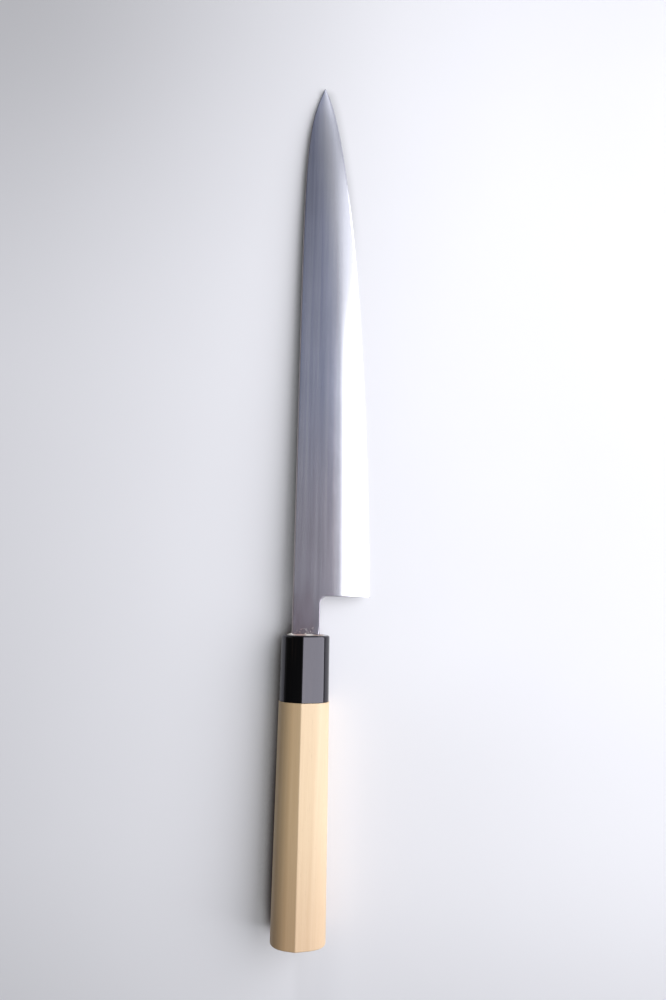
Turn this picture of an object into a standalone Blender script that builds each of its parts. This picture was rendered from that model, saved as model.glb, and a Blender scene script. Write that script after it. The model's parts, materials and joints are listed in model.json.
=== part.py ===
"""A right-handed sujihiki slicing knife, lying on its left side as it rests on a table.

The knife is built in its own frame and then laid down as one assembly:
+Y runs to the tip, +X to the cutting edge, +Z out of the blade's right face.
The handle's front end is at y = 0 and the handle's axis at x = 0, z = 0.
"""
import math

import bmesh
import bpy
import numpy as np
from mathutils import Matrix, Vector

# Blade outline, in metres
EDGE_LENGTH = 0.270
HEEL_GAP = 0.0187
SPINE_OFFSET = 0.0069
SPINE_STRAIGHT = 0.137
HEEL_DEPTH = 0.0315
TIP_DEPTH = 0.0030
NECK_DEPTH = 0.0070
CHOIL_RADIUS = 0.0034
BEVEL_HEEL_WIDTH = 0.0151

# Curves of the outline: slopes are x over y, pulls are shares of the curve's own length
EDGE_HEEL_SLOPE = -0.024
EDGE_TIP_SLOPE = -0.61
EDGE_HEEL_PULL = 0.436
EDGE_TIP_PULL = 0.091
SPINE_SLOPE = 0.0009
SPINE_TIP_SLOPE = 0.45
SPINE_PULL = 0.749
SPINE_TIP_PULL = 0.152
BEVEL_SLOPE = -0.014
BEVEL_TIP_SLOPE = -0.10
BEVEL_HEEL_PULL = 0.708
BEVEL_TIP_PULL = 0.261

# Blade thickness
NECK_THICKNESS = 0.0031
TIP_THICKNESS = 0.0010
SHOULDER_THICKNESS = 0.00034
MICRO_BEVEL = 0.0006
BEVEL_CROWN = 1.6
SPINE_ROUNDING = 0.0007
NECK_ROUNDING = 0.0010
POINT_LENGTH = 0.0014

# Shares that keep each part of a section in its place where the blade runs out
MOST_ROUNDING = 0.9
LEAST_FLAT = 0.2
MOST_MICRO_BEVEL = 0.2
MOST_SHOULDER = 0.6

# Hidden tang: the neck narrows to it inside the ferrule's mouth
TANG_LENGTH = 0.110
TANG_SHANK = 0.006
TANG_WIDTH = 0.0110
TANG_THICKNESS = 0.0030
TANG_END_WIDTH = 0.0064
TANG_END_THICKNESS = 0.0020

# Handle: an oval section drawn out to one ridge on its right side
HANDLE_LENGTH = 0.1418
FRONT_WIDTH = 0.02335
BUTT_WIDTH = 0.0256
FRONT_THICKNESS = 0.0184
BUTT_THICKNESS = 0.0200
RIDGE_RISE = 0.00045
RIDGE_OFFSET = 0.0023
SECTION_FULLNESS = 2.6
FRONT_ARRIS = 0.0009
BUTT_ARRIS = 0.0008
WOOD_PROUD = 0.0002

# Ferrule, and what fills its mouth and the bore behind it
FERRULE_LENGTH = 0.0314
FERRULE_WALL = 0.0022
FERRULE_FLOOR = 0.0075
SEAL_WALL = 0.0013
SEAL_PROUD = 0.0005
SEAL_TAPER = 0.0006
SEAL_CORNER = 0.0011
BEDDING_WALL = 0.0009
BEDDING_END = 0.0030
FIT_GAP = 0.0003
JOINT_GAP = 0.0003
CUTTER_OVERRUN = 0.0010

# Weights of the materials, in kilograms a cubic metre, which settle how the knife lies
STEEL_WEIGHT = 7850.0
HORN_WEIGHT = 1300.0
WOOD_WEIGHT = 500.0
RESIN_WEIGHT = 1150.0

# Number of steps along each round or tapering stretch
BLADE_ROWS = 44
CHOIL_ROWS = 6
TANG_ROWS = 8
ARC_STEPS = 3
BEVEL_STEPS = 4
OVAL_STEPS = 34
ARRIS_STEPS = 3
CURVE_SAMPLES = 400
HALVINGS = 40
ROW_CROWDING = 1.5
SHARP_ANGLE = math.radians(28.0)
STEEPEST_REST = math.radians(35.0)

# Colour, roughness and metallic value of each material
BRUSHED_STEEL = ((0.56, 0.57, 0.59, 1.0), 0.28, 1.0)
POLISHED_HORN = ((0.008, 0.008, 0.009, 1.0), 0.12, 0.0)
MAGNOLIA_WOOD = ((0.80, 0.62, 0.40, 1.0), 0.55, 0.0)
SEAL_RESIN = ((0.66, 0.52, 0.42, 1.0), 0.70, 0.0)
BEDDING_RESIN = ((0.30, 0.20, 0.12, 1.0), 0.60, 0.0)


def clear_scene():
    for old in list(bpy.data.objects):
        bpy.data.objects.remove(old)


def new_collection(name):
    collection = bpy.data.collections.new(name)
    bpy.context.scene.collection.children.link(collection)
    return collection


def new_material(name, look):
    colour, roughness, metallic = look
    material = bpy.data.materials.new(name)
    material.use_nodes = True
    shader = material.node_tree.nodes["Principled BSDF"]
    shader.inputs["Base Color"].default_value = colour
    shader.inputs["Roughness"].default_value = roughness
    shader.inputs["Metallic"].default_value = metallic
    return material


def new_object(name, mesh_data, collection, material=None):
    bmesh.ops.recalc_face_normals(mesh_data, faces=mesh_data.faces)
    if mesh_data.calc_volume(signed=True) < 0.0:
        bmesh.ops.reverse_faces(mesh_data, faces=mesh_data.faces)
    mesh = bpy.data.meshes.new(name)
    mesh_data.to_mesh(mesh)
    mesh_data.free()
    mesh.shade_smooth()
    mesh.set_sharp_from_angle(angle=SHARP_ANGLE)
    piece = bpy.data.objects.new(name, mesh)
    if material:
        mesh.materials.append(material)
    collection.objects.link(piece)
    return piece


def new_cutter(name, rings, collection):
    cutter = new_object(name, loft(rings), collection)
    cutter.hide_render = True
    cutter.display_type = "WIRE"
    return cutter


def cut(piece, cutter):
    modifier = piece.modifiers.new("cut_" + cutter.name, "BOOLEAN")
    modifier.operation = "DIFFERENCE"
    modifier.solver = "EXACT"
    modifier.object = cutter


def loft(rings):
    """Closed body through rings of equal count, capped flat at both ends."""
    data = bmesh.new()
    rows = [[data.verts.new(point) for point in ring] for ring in rings]
    for row, following in zip(rows, rows[1:]):
        skin(data, row, following)
    data.faces.new(rows[0])
    data.faces.new(rows[-1])
    return data


def skin(data, row, following):
    count = len(row)
    for step in range(count):
        after = (step + 1) % count
        data.faces.new((row[step], row[after], following[after], following[step]))


def outline_curve(start, start_slope, start_pull, end, end_slope, end_pull):
    """One cubic curve that leaves and meets its two ends at the given slopes."""
    reach = end[1] - start[1]
    leave = (start[0] + start_slope * start_pull * reach, start[1] + start_pull * reach)
    meet = (end[0] - end_slope * end_pull * reach, end[1] - end_pull * reach)
    t = np.linspace(0.0, 1.0, CURVE_SAMPLES)[:, None]
    a, b, c, d = (np.array(point) for point in (start, leave, meet, end))
    points = a * (1 - t) ** 3 + 3 * b * t * (1 - t) ** 2 + 3 * c * t**2 * (1 - t) + d * t**3
    return points[:, 0], points[:, 1]


def tip_point():
    """The tip, an edge length away from the heel's corner."""
    return TIP_DEPTH, HEEL_GAP + math.sqrt(EDGE_LENGTH**2 - (HEEL_DEPTH - TIP_DEPTH) ** 2)


def edge_line():
    heel = (HEEL_DEPTH, HEEL_GAP)
    return outline_curve(
        heel, EDGE_HEEL_SLOPE, EDGE_HEEL_PULL, tip_point(), EDGE_TIP_SLOPE, EDGE_TIP_PULL
    )


def bevel_line():
    """Where the flat side ends and the ground bevel begins."""
    heel = (HEEL_DEPTH - BEVEL_HEEL_WIDTH, HEEL_GAP)
    return outline_curve(
        heel, BEVEL_SLOPE, BEVEL_HEEL_PULL, tip_point(), BEVEL_TIP_SLOPE, BEVEL_TIP_PULL
    )


def spine_line():
    """The spine's straight stretch, then its fall to the tip."""
    bend_y = HEEL_GAP + SPINE_STRAIGHT
    bend = (-SPINE_OFFSET + SPINE_SLOPE * bend_y, bend_y)
    x, y = outline_curve(
        bend, SPINE_SLOPE, SPINE_PULL, tip_point(), SPINE_TIP_SLOPE, SPINE_TIP_PULL
    )
    return np.append(-SPINE_OFFSET, x), np.append(0.0, y)


def across(line, y):
    """Where an outline crosses y."""
    return np.interp(y, line[1], line[0])


def half_thickness(y):
    """Half the blade's thickness on its flat sides, thinning evenly to the tip."""
    share = y / tip_point()[1]
    return 0.5 * (NECK_THICKNESS + (TIP_THICKNESS - NECK_THICKNESS) * share)


def rounding(radius, half):
    """A side's rounding, limited by the steel's thickness."""
    return min(radius, MOST_ROUNDING * half)


def rounded_side(x, inward, half, radius):
    """Points of a rounded side, from its middle to where it meets the flat face."""
    round_x = rounding(radius, half)
    points = []
    for step in range(ARC_STEPS + 1):
        angle = 0.5 * math.pi * step / ARC_STEPS
        points.append((x + inward * round_x * (1 - math.cos(angle)), half * math.sin(angle)))
    return points


def both_faces(half_ring, y):
    """A closed ring from the right half of a section, mirrored to the left face."""
    right = [(x, y, z) for x, z in half_ring]
    left = [(x, along, -z) for x, along, z in reversed(right[1:-1])]
    return right + left


def neck_section(spine_x, low_x, half, y):
    """Section of the neck or tang, rounded along its spine and its lower side."""
    low = rounded_side(low_x, -1.0, half, NECK_ROUNDING)
    return both_faces(rounded_side(spine_x, 1.0, half, SPINE_ROUNDING) + low[::-1], y)


def blade_section(spine_x, bevel_x, edge_x, corner_share, y):
    """Section of the blade: rounded spine, flat sides, crowned bevels and a fine last bevel."""
    half = half_thickness(y)
    flat_x = spine_x + rounding(SPINE_ROUNDING, half)
    bevel_x = max(bevel_x, flat_x + LEAST_FLAT * (edge_x - flat_x))
    shoulder_x = edge_x - min(MICRO_BEVEL, MOST_MICRO_BEVEL * (edge_x - bevel_x))
    shoulder = min(0.5 * SHOULDER_THICKNESS, MOST_SHOULDER * half)
    points = rounded_side(spine_x, 1.0, half, SPINE_ROUNDING)
    points.append((flat_x + corner_share * (bevel_x - flat_x), half))
    for step in range(BEVEL_STEPS + 1):
        share = step / BEVEL_STEPS
        height = half - (half - shoulder) * share**BEVEL_CROWN
        points.append((bevel_x + share * (shoulder_x - bevel_x), height))
    points.append((edge_x, 0.0))
    return both_faces(points, y)


def tang_size(y):
    """The tang's reach to the spine side, to the edge side, and half its thickness."""
    places = (-TANG_LENGTH, -TANG_SHANK, 0.0)
    left = (0.5 * TANG_END_WIDTH, 0.5 * TANG_WIDTH, SPINE_OFFSET)
    right = (0.5 * TANG_END_WIDTH, 0.5 * TANG_WIDTH, NECK_DEPTH)
    half = (0.5 * TANG_END_THICKNESS, 0.5 * TANG_THICKNESS, 0.5 * NECK_THICKNESS)
    return [float(np.interp(y, places, sizes)) for sizes in (left, right, half)]


def tang_rings():
    """The tang from its end to the shoulder where the neck begins to widen."""
    rings = []
    for row in range(TANG_ROWS + 1):
        y = -TANG_LENGTH + (TANG_LENGTH - TANG_SHANK) * row / TANG_ROWS
        left, right, half = tang_size(y)
        rings.append(neck_section(-left, right, half, y))
    return rings


def neck_rings(spine):
    """The neck from the mouth to the heel, widening along the choil's round corner."""
    choil_start = HEEL_GAP - CHOIL_RADIUS
    rings = []
    for y in (0.0, 0.5 * choil_start):
        rings.append(neck_section(across(spine, y), NECK_DEPTH, half_thickness(y), y))
    for row in range(CHOIL_ROWS + 1):
        angle = 0.5 * math.pi * row / CHOIL_ROWS
        y = choil_start + CHOIL_RADIUS * math.sin(angle)
        low_x = NECK_DEPTH + CHOIL_RADIUS * (1 - math.cos(angle))
        rings.append(neck_section(across(spine, y), low_x, half_thickness(y), y))
    return rings


def blade_rings(spine, bevel, edge):
    """The blade from its heel to just before the point."""
    half = half_thickness(HEEL_GAP)
    flat_x = across(spine, HEEL_GAP) + rounding(SPINE_ROUNDING, half)
    corner_x = NECK_DEPTH + CHOIL_RADIUS - rounding(NECK_ROUNDING, half)
    corner_share = (corner_x - flat_x) / (across(bevel, HEEL_GAP) - flat_x)
    reach = tip_point()[1] - HEEL_GAP - POINT_LENGTH
    rings = []
    for row in range(BLADE_ROWS + 1):
        share = 1 - (1 - row / BLADE_ROWS) ** ROW_CROWDING
        y = HEEL_GAP + share * reach
        lines = [across(line, y) for line in (spine, bevel, edge)]
        rings.append(blade_section(*lines, corner_share, y))
    return rings


def make_blade(collection, material):
    """Blade, neck and tang as one forged piece."""
    spine = spine_line()
    data = bmesh.new()
    rows = [[data.verts.new(point) for point in ring] for ring in tang_rings() + neck_rings(spine)]
    for row, following in zip(rows, rows[1:]):
        skin(data, row, following)
    data.faces.new(rows[0])

    # The last neck ring and the first blade ring share the spine and the flat faces' start.
    neck = rows[-1]
    flat = 2 + ARC_STEPS
    sections = blade_rings(spine, bevel_line(), edge_line())
    count = len(sections[0])
    heel = neck[:flat]
    heel += [data.verts.new(point) for point in sections[0][flat : count - flat + 1]]
    heel += neck[len(neck) - flat + 1 :]
    blade = [heel]
    blade += [[data.verts.new(point) for point in ring] for ring in sections[1:]]
    for row, following in zip(blade, blade[1:]):
        skin(data, row, following)
    wall = heel[flat - 1 : count - flat + 2]
    wall += neck[flat : len(neck) - flat + 1][::-1]
    data.faces.new(wall)

    point = data.verts.new((*tip_point(), 0.0))
    last = blade[-1]
    for step in range(count):
        data.faces.new((last[step], last[(step + 1) % count], point))
    return new_object("blade", data, collection, material)


def oval_point(width, thickness, angle):
    power = 2.0 / SECTION_FULLNESS
    cosine = math.cos(angle)
    sine = math.sin(angle)
    x = 0.5 * width * math.copysign(abs(cosine) ** power, cosine)
    z = 0.5 * thickness * math.copysign(abs(sine) ** power, sine)
    return x, z


def tangent_angle(width, thickness, ridge_x, ridge_z, side):
    """Where a line from the ridge just touches the oval on one side, found by halving."""
    low = 0.5 * math.pi
    high = 0.0 if side > 0 else math.pi
    power = 2.0 - 2.0 / SECTION_FULLNESS
    for _ in range(HALVINGS):
        middle = 0.5 * (low + high)
        reach = ridge_x / (0.5 * width) * math.copysign(abs(math.cos(middle)) ** power, side)
        reach += ridge_z / (0.5 * thickness) * abs(math.sin(middle)) ** power
        if reach > 1.0:
            low = middle
        else:
            high = middle
    return 0.5 * (low + high)


def handle_size(y):
    """The oval's width and thickness at y."""
    share = -y / HANDLE_LENGTH
    width = FRONT_WIDTH + share * (BUTT_WIDTH - FRONT_WIDTH)
    thickness = FRONT_THICKNESS + share * (BUTT_THICKNESS - FRONT_THICKNESS)
    return width, thickness


def handle_ring(y, inset=0.0, proud=0.0):
    """The handle's section at y: an oval drawn out to a ridge by its two tangents."""
    width, thickness = (size + 2.0 * (proud - inset) for size in handle_size(y))
    ridge_x = -RIDGE_OFFSET
    ridge_z = 0.5 * thickness + RIDGE_RISE
    first = tangent_angle(width, thickness, ridge_x, ridge_z, 1.0)
    last = tangent_angle(width, thickness, ridge_x, ridge_z, -1.0) - 2.0 * math.pi
    ring = [(ridge_x, y, ridge_z)]
    for step in range(OVAL_STEPS + 1):
        angle = first + (last - first) * step / OVAL_STEPS
        x, z = oval_point(width, thickness, angle)
        ring.append((x, y, z))
    return ring


def tenon_front():
    return -FERRULE_FLOOR - FIT_GAP


def tenon_ring(y, clearance=0.0):
    """The tenon's plain oval, with as many points as the handle's section, from the top."""
    inset = FERRULE_WALL + FIT_GAP - clearance
    width, thickness = (size - 2.0 * inset for size in handle_size(-FERRULE_LENGTH))
    count = OVAL_STEPS + 2
    ring = []
    for step in range(count):
        angle = 0.5 * math.pi - 2.0 * math.pi * step / count
        ring.append((0.5 * width * math.cos(angle), y, 0.5 * thickness * math.sin(angle)))
    return ring


def slot_ring(y, left_x, right_x, half, corner):
    """A rounded rectangle around the tang at y."""
    centres = (
        (right_x - corner, half - corner, 0.0),
        (left_x + corner, half - corner, 0.5),
        (left_x + corner, corner - half, 1.0),
        (right_x - corner, corner - half, 1.5),
    )
    ring = []
    for centre_x, centre_z, start in centres:
        for step in range(ARC_STEPS + 1):
            angle = math.pi * (start + 0.5 * step / ARC_STEPS)
            x = centre_x + corner * math.cos(angle)
            ring.append((x, y, centre_z + corner * math.sin(angle)))
    return ring


def around_tang(y, clearance):
    """A rounded rectangle that clears the tang by the same distance on every side."""
    left, right, half = tang_size(y)
    corner = rounding(SEAL_CORNER + clearance, half + clearance)
    return slot_ring(y, -left - clearance, right + clearance, half + clearance, corner)


def along_tang(start, end, clearance):
    """Rings around the tang from start to end, with one wherever the tang changes its taper."""
    turns = [y for y in (-TANG_LENGTH, -TANG_SHANK, 0.0) if start < y < end]
    return [around_tang(y, clearance) for y in (start, *turns, end)]


def arris_rings(end_y, inward, radius, proud):
    """Rings that round the arris between a handle's end face and its sides."""
    rings = []
    for step in range(ARRIS_STEPS + 1):
        angle = 0.5 * math.pi * step / ARRIS_STEPS
        y = end_y + inward * radius * (1 - math.sin(angle))
        rings.append(handle_ring(y, radius * (1 - math.cos(angle)), proud))
    return rings


def make_ferrule(collection, cutters, material):
    """The horn ring: bored from behind for the tenon and slotted in front for the tang."""
    rings = [handle_ring(-FERRULE_LENGTH)] + arris_rings(0.0, -1.0, FRONT_ARRIS, 0.0)
    ferrule = new_object("horn_ferrule", loft(rings), collection, material)
    back = -FERRULE_LENGTH - CUTTER_OVERRUN
    bore_rings = [tenon_ring(back, FIT_GAP), tenon_ring(-FERRULE_FLOOR, FIT_GAP)]
    bore = new_cutter("tenon_bore", bore_rings, cutters)
    reach = SEAL_WALL + 2 * FIT_GAP
    slot_rings = along_tang(-FERRULE_FLOOR - CUTTER_OVERRUN, CUTTER_OVERRUN, reach)
    slot = new_cutter("mouth_slot", slot_rings, cutters)
    cut(ferrule, bore)
    cut(ferrule, slot)
    return ferrule


def make_handle_body(collection, cutters, material):
    """The magnolia grip with its tenon, bored for the tang and its bedding."""
    shoulder = -FERRULE_LENGTH - JOINT_GAP
    rings = arris_rings(-HANDLE_LENGTH, 1.0, BUTT_ARRIS, WOOD_PROUD)[::-1]
    rings += [handle_ring(shoulder, 0.0, WOOD_PROUD), tenon_ring(shoulder), tenon_ring(tenon_front())]
    body = new_object("handle_body", loft(rings), collection, material)
    reach = BEDDING_WALL + 2 * FIT_GAP
    bottom = -TANG_LENGTH - BEDDING_END - FIT_GAP
    bore_rings = along_tang(bottom, tenon_front() + CUTTER_OVERRUN, reach)
    cut(body, new_cutter("tang_bore", bore_rings, cutters))
    return body


def make_bedding(collection, cutters, material):
    """The cured sleeve that fixes the tang in the wood, closed behind the tang's end."""
    front = tenon_front()
    rings = along_tang(-TANG_LENGTH - BEDDING_END, front, BEDDING_WALL + FIT_GAP)
    bedding = new_object("tang_bedding", loft(rings), collection, material)
    hollow_rings = along_tang(-TANG_LENGTH - FIT_GAP, front + CUTTER_OVERRUN, FIT_GAP)
    cut(bedding, new_cutter("bedding_hollow", hollow_rings, cutters))
    return bedding


def make_seal(collection, cutters, material):
    """The bead that closes the ferrule's mouth around the neck, standing slightly proud."""
    back = tenon_front() + 2 * FIT_GAP
    rings = along_tang(back, 0.0, SEAL_WALL + FIT_GAP)
    rings.append(around_tang(SEAL_PROUD, SEAL_WALL + FIT_GAP - SEAL_TAPER))
    seal = new_object("mouth_seal", loft(rings), collection, material)
    hollow_rings = along_tang(back - CUTTER_OVERRUN, SEAL_PROUD + CUTTER_OVERRUN, FIT_GAP)
    cut(seal, new_cutter("seal_hollow", hollow_rings, cutters))
    return seal


def solid_of(piece):
    """The piece's finished mesh, in the knife's own frame."""
    depsgraph = bpy.context.evaluated_depsgraph_get()
    data = bmesh.new()
    data.from_object(piece, depsgraph)
    return data


def balance_point(weighed):
    """The knife's centre of mass, summed over tetrahedra from the origin to each face."""
    mass = 0.0
    moment = Vector((0.0, 0.0, 0.0))
    for piece, weight in weighed:
        data = solid_of(piece)
        bmesh.ops.triangulate(data, faces=data.faces)
        for face in data.faces:
            a, b, c = (vertex.co for vertex in face.verts)
            share = weight * a.dot(b.cross(c)) / 6.0
            mass += share
            moment += share * (a + b + c) / 4.0
        data.free()
    return moment / mass


def resting_face(weighed, balance):
    """The outward normal of the hull face on the left side that the balance point stands over."""
    hull = bmesh.new()
    for piece, _ in weighed:
        data = solid_of(piece)
        for vertex in data.verts:
            hull.verts.new(vertex.co)
        data.free()
    bmesh.ops.convex_hull(hull, input=hull.verts)
    best = None
    for face in hull.faces:
        normal = face.normal.copy()
        if -normal.z < math.cos(STEEPEST_REST):
            continue
        foot = balance + normal * (face.verts[0].co - balance).dot(normal)
        corners = [vertex.co for vertex in face.verts]
        turns = [
            (after - before).cross(foot - before).dot(normal)
            for before, after in zip(corners, corners[1:] + corners[:1])
        ]
        if min(turns) > 0.0 and (best is None or normal.z < best.z):
            best = normal
    hull.free()
    return best


def lay_down(knife, weighed):
    """Turns the knife onto its resting face, tip towards +Y, and centres it on the floor."""
    balance = balance_point(weighed)
    up = -resting_face(weighed, balance)
    along = (Vector((0.0, 1.0, 0.0)) - up * up.y).normalized()
    turn = Matrix((along.cross(up), along, up))
    points = [turn @ vertex.co for piece, _ in weighed for vertex in piece.data.vertices]
    low = Vector([min(point[axis] for point in points) for axis in range(3)])
    high = Vector([max(point[axis] for point in points) for axis in range(3)])
    middle = 0.5 * (low + high)
    place = Vector((-middle.x, -middle.y, -low.z))
    knife.matrix_world = Matrix.Translation(place) @ turn.to_4x4()
    print("balance point, mm", [round(1000 * value, 2) for value in balance])
    print("lean to the edge, degrees", round(math.degrees(math.asin(up.x)), 2))
    print("lean to the tip, degrees", round(math.degrees(math.asin(up.y)), 2))
    print("origin of the knife's frame, mm", [round(1000 * value, 3) for value in place])
    print("size, mm", [round(1000 * value, 2) for value in high - low])


def main():
    clear_scene()
    parts = new_collection("sujihiki_knife")
    cutters = new_collection("cutters")
    steel = new_material("brushed_steel", BRUSHED_STEEL)
    horn = new_material("polished_horn", POLISHED_HORN)
    wood = new_material("magnolia_wood", MAGNOLIA_WOOD)
    seal_resin = new_material("seal_resin", SEAL_RESIN)
    bedding_resin = new_material("bedding_resin", BEDDING_RESIN)

    weighed = [
        (make_blade(parts, steel), STEEL_WEIGHT),
        (make_ferrule(parts, cutters, horn), HORN_WEIGHT),
        (make_handle_body(parts, cutters, wood), WOOD_WEIGHT),
        (make_seal(parts, cutters, seal_resin), RESIN_WEIGHT),
        (make_bedding(parts, cutters, bedding_resin), RESIN_WEIGHT),
    ]
    knife = bpy.data.objects.new("knife", None)
    parts.objects.link(knife)
    for piece in (*parts.objects, *cutters.objects):
        if piece != knife:
            piece.parent = knife
    bpy.context.view_layer.update()
    lay_down(knife, weighed)


main()
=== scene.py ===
# %% [markdown]
# # A slicing knife on a pale table
# A sujihiki is a long, narrow slicer: one forged blade whose hidden tang is glued into a wooden
# grip, with a ring of buffalo horn between them. The packed model gives the sizes and the place
# of every piece. This lesson rebuilds each visible piece more finely on the same lines, gives it
# its finish, and lights it like a still life beside a large window.

import json
import math
import random

import bmesh
import bpy
import numpy as np
from mathutils import Matrix, Vector, noise


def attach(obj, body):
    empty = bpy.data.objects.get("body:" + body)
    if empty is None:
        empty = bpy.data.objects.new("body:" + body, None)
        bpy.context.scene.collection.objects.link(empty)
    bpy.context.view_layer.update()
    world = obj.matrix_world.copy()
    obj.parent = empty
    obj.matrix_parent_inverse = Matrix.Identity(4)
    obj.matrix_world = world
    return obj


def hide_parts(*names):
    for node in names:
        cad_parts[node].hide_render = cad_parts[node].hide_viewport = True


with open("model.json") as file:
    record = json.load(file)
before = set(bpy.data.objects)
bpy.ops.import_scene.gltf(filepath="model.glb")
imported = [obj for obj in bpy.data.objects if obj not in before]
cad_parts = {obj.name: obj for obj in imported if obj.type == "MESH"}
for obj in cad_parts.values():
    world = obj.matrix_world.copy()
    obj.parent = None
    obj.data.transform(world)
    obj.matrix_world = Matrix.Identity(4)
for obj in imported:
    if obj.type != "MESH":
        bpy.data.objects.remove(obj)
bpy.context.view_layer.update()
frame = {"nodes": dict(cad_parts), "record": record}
print("packed nodes:", sorted(frame["nodes"]))

# %% [markdown]
# ## The knife's own axes
# The knife leans on its ferrule and its edge, so nothing on it is square to the table. Every
# piece is easier to draw in the knife's own axes: y along the handle to the tip, x towards the
# cutting edge, z out of the right side. The packed mounts tell where these axes are: the butt's
# face looks straight back, and the two flat sides of the blade look out, right and left.

# %% Find the knife's axes from its mounts
HANDLE_LENGTH = 0.1418

mounts = {mount["name"]: mount for mount in frame["record"]["mounts"]}
right_side = Vector(mounts["rack_face_right"]["axis"])
left_side = Vector(mounts["rack_face_left"]["axis"])
along = -Vector(mounts["butt_face"]["axis"]).normalized()
edgeward = along.cross(right_side - left_side).normalized()
outward = edgeward.cross(along)
handle_front = Vector(mounts["butt_face"]["pos_m"]) + HANDLE_LENGTH * along
KNIFE = Matrix.Translation(handle_front) @ Matrix((edgeward, along, outward)).transposed().to_4x4()
print("the knife leans", round(math.degrees(math.asin(-edgeward.z)), 2), "degrees to its edge")

# %% [markdown]
# ## The camera
# The picture is taken from above, a little towards the tip, so that the whole knife stands
# upright in a tall frame. The camera's place, tilt and roll were solved from the knife's outline:
# with the right lens, every corner of the drawing falls on its corner in the picture.

# %% Place the camera
CAMERA_PLACE = Vector((0.0029182, -0.0379034, 0.3804627))
CAMERA_TILT = math.radians(4.9)
CAMERA_ROLL = math.radians(1.2875)
LENS = 27.0
NEAREST_SEEN = 0.01

camera = bpy.data.objects.new("camera", bpy.data.cameras.new("camera"))
bpy.context.scene.collection.objects.link(camera)
camera.data.lens = LENS
camera.data.clip_start = NEAREST_SEEN
turned = Matrix.Rotation(CAMERA_TILT, 4, "X") @ Matrix.Rotation(CAMERA_ROLL, 4, "Z")
camera.matrix_world = Matrix.Translation(CAMERA_PLACE) @ turned
bpy.context.scene.camera = camera
bpy.context.scene.view_settings.view_transform = "Standard"
print("the camera hangs", round(1000 * CAMERA_PLACE.z), "mm above the table")

# %% [markdown]
# ## Bodies from rings of points
# A blade or a grip is a section that changes slowly along a line, so a loft through rings of
# points fits it better than a block pushed into shape. Two small helpers make the skin, and a
# third turns it into an object: edges that turn sharply are marked, all else is shaded smooth,
# and a Weighted Normal modifier keeps large flats flat right up to their rounded borders.

# %% Helpers that skin rings and finish a mesh
SHARP_TURN = math.radians(30.0)


def skin(data, row, following, closed=True):
    """Faces between two rows of points; a closed row also joins its last point to its first."""
    count = len(row)
    for step in range(count if closed else count - 1):
        after = (step + 1) % count
        data.faces.new((row[step], row[after], following[after], following[step]))


def loft(rings):
    """A closed body through rings of equal count, capped flat at both ends."""
    data = bmesh.new()
    rows = [[data.verts.new(point) for point in ring] for ring in rings]
    for row, following in zip(rows, rows[1:]):
        skin(data, row, following)
    data.faces.new(rows[0])
    data.faces.new(rows[-1])
    return data


def new_piece(name, data):
    """An object of this mesh, with sharp turns marked and the rest shaded smooth."""
    bmesh.ops.recalc_face_normals(data, faces=data.faces)
    if data.calc_volume(signed=True) < 0.0:
        bmesh.ops.reverse_faces(data, faces=data.faces)
    for edge in data.edges:
        if len(edge.link_faces) == 2 and edge.calc_face_angle() > SHARP_TURN:
            edge.smooth = False
    for face in data.faces:
        face.smooth = True
    mesh = bpy.data.meshes.new(name)
    data.to_mesh(mesh)
    data.free()
    piece = bpy.data.objects.new(name, mesh)
    bpy.context.scene.collection.objects.link(piece)
    return piece


def keep_flats(piece):
    piece.modifiers.new("flats_stay_flat", "WEIGHTED_NORMAL").keep_sharp = True


print("edges that turn more than", round(math.degrees(SHARP_TURN)), "degrees stay sharp")

# %% [markdown]
# ## The blade's outline
# The edge, the spine and the line where the ground bevel begins are three smooth curves that
# meet at the tip. Each is one cubic curve, given by its two ends, the slope at which it leaves
# and meets them, and how far each end pulls. A grinder follows such a line by eye, and a handful
# of numbers keeps it as smooth as the stone does.

# %% Draw the outline's curves
EDGE_LENGTH = 0.270
HEEL_GAP = 0.0187
SPINE_OFFSET = 0.0069
SPINE_STRAIGHT = 0.137
SPINE_SLOPE = 0.0009
SPINE_PULL = 0.749
SPINE_AT_TIP = (0.45, 0.152)
HEEL_DEPTH = 0.0315
TIP_DEPTH = 0.0030
EDGE_AT_HEEL = (-0.024, 0.436)
EDGE_AT_TIP = (-0.61, 0.091)
BEVEL_HEEL_WIDTH = 0.0151
BEVEL_AT_HEEL = (-0.014, 0.708)
BEVEL_AT_TIP = (-0.10, 0.261)
CURVE_SAMPLES = 800


def outline_curve(start, leaving, end, meeting):
    """One cubic curve; leaving and meeting are its slope and its pull at either end."""
    reach = end[1] - start[1]
    leave = (start[0] + leaving[0] * leaving[1] * reach, start[1] + leaving[1] * reach)
    meet = (end[0] - meeting[0] * meeting[1] * reach, end[1] - meeting[1] * reach)
    t = np.linspace(0.0, 1.0, CURVE_SAMPLES)[:, None]
    a, b, c, d = (np.array(point) for point in (start, leave, meet, end))
    points = a * (1 - t) ** 3 + 3 * b * t * (1 - t) ** 2 + 3 * c * t**2 * (1 - t) + d * t**3
    return points[:, 0], points[:, 1]


def across(line, y):
    """Where an outline crosses y."""
    return float(np.interp(y, line[1], line[0]))


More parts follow.
